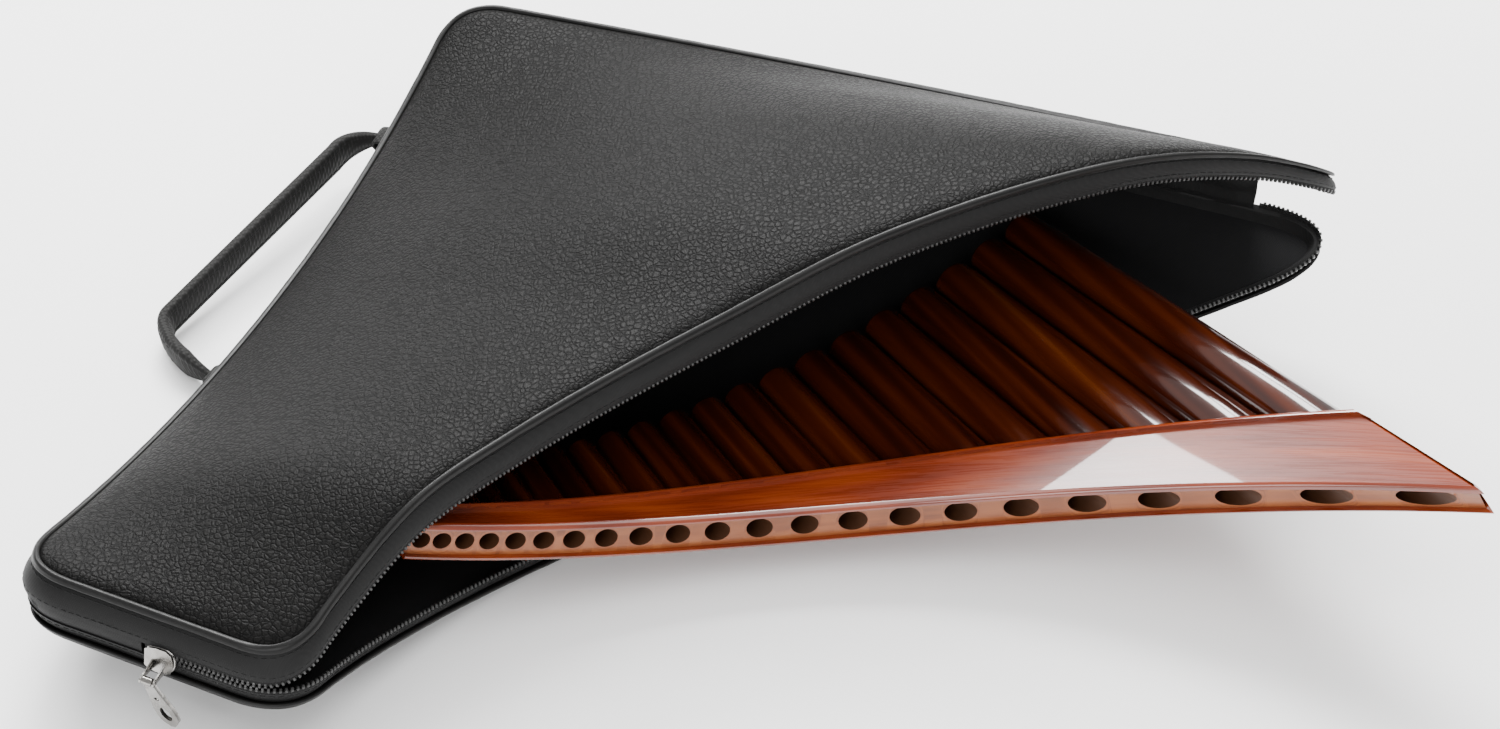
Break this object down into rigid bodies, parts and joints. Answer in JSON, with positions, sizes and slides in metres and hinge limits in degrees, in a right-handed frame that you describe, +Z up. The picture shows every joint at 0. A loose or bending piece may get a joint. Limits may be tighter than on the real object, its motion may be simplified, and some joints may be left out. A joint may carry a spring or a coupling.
{
  "type": "pan flute in zip case",
  "caption": "Curved pan flute of graduated lacquered pipes on a slanted holed rail, lying half out of a curved leatherette zip case with a carrying handle.",
  "frame": {"origin": "under the middle of the whole object's bounding box, on the surface it rests on", "axes": "+Z up; +X to the right of the pictured view, along the object's longest extent; +Y away from the viewer"},
  "size_m": [0.536, 0.373, 0.1302],
  "materials": {
    "lacquered_pipe": "high-gloss amber-brown lacquer over dark wood",
    "lacquered_rail": "gloss lacquer over red-orange wood",
    "cork": "plain cork",
    "leatherette": "black pebble-grain leatherette, semi-gloss",
    "gusset_cloth": "smooth black nylon",
    "hinge_cloth": "smooth black nylon, soft folds",
    "piping_cord": "glossy black piping",
    "zip_coil": "black nylon zip coil on woven tape",
    "zip_metal": "polished nickel",
    "webbing": "black woven webbing"
  },
  "bodies": {
    "case_base": {"base_panel": "leatherette", "base_wall": "gusset_cloth", "base_piping": "piping_cord", "base_zip": "zip_coil", "hinge_gusset": "hinge_cloth", "handle_anchor_front": "webbing", "handle_anchor_rear": "webbing"},
    "lid": {"lid_panel": "leatherette", "lid_wall": "gusset_cloth", "lid_piping": "piping_cord", "lid_zip": "zip_coil"},
    "flute": {"pipe_01": "lacquered_pipe", "pipe_02": "lacquered_pipe", "pipe_03": "lacquered_pipe", "pipe_04": "lacquered_pipe", "pipe_05": "lacquered_pipe", "pipe_06": "lacquered_pipe", "pipe_07": "lacquered_pipe", "pipe_08": "lacquered_pipe", "pipe_09": "lacquered_pipe", "pipe_10": "lacquered_pipe", "pipe_11": "lacquered_pipe", "pipe_12": "lacquered_pipe", "pipe_13": "lacquered_pipe", "pipe_14": "lacquered_pipe", "pipe_15": "lacquered_pipe", "pipe_16": "lacquered_pipe", "pipe_17": "lacquered_pipe", "pipe_18": "lacquered_pipe", "pipe_19": "lacquered_pipe", "pipe_20": "lacquered_pipe", "pipe_21": "lacquered_pipe", "pipe_22": "lacquered_pipe", "stopper_01": "cork", "stopper_02": "cork", "stopper_03": "cork", "stopper_04": "cork", "stopper_05": "cork", "stopper_06": "cork", "stopper_07": "cork", "stopper_08": "cork", "stopper_09": "cork", "stopper_10": "cork", "stopper_11": "cork", "stopper_12": "cork", "stopper_13": "cork", "stopper_14": "cork", "stopper_15": "cork", "stopper_16": "cork", "stopper_17": "cork", "stopper_18": "cork", "stopper_19": "cork", "stopper_20": "cork", "stopper_21": "cork", "stopper_22": "cork", "bottom_rail": "lacquered_rail"},
    "slider": {"zip_slider": "zip_metal"},
    "pull": {"zip_pull": "zip_metal"},
    "handle": {"handle_strap": "webbing"}
  },
  "joints": [
    {"name": "lid_hinge", "type": "hinge", "parent": "case_base", "child": "lid", "pos_m": [-0.20402, 0.025, 0.02305], "axis": [-0.3914, -0.9202, 0], "range_deg": [0, 12]},
    {"name": "flute_slide", "type": "slide", "parent": "case_base", "child": "flute", "axis": [0.4949, -0.8614, 0.1142], "range_m": [0, 0.26]},
    {"name": "zip_slide", "type": "slide", "parent": "case_base", "child": "slider", "axis": [0.9202, -0.3914, 0], "range_m": [0, 0.025]},
    {"name": "pull_swing", "type": "hinge", "parent": "slider", "child": "pull", "pos_m": [-0.21436, -0.17945, 0.03901], "axis": [-0.9202, 0.3914, 0], "range_deg": [0, 70]},
    {"name": "handle_fold", "type": "hinge", "parent": "case_base", "child": "handle", "pos_m": [-0.22223, -0.00147, 0.00748], "axis": [0.3899, 0.9167, 0.0872], "range_deg": [-4, 40], "stiffness_Nm_per_rad": 0.4}
  ]
}
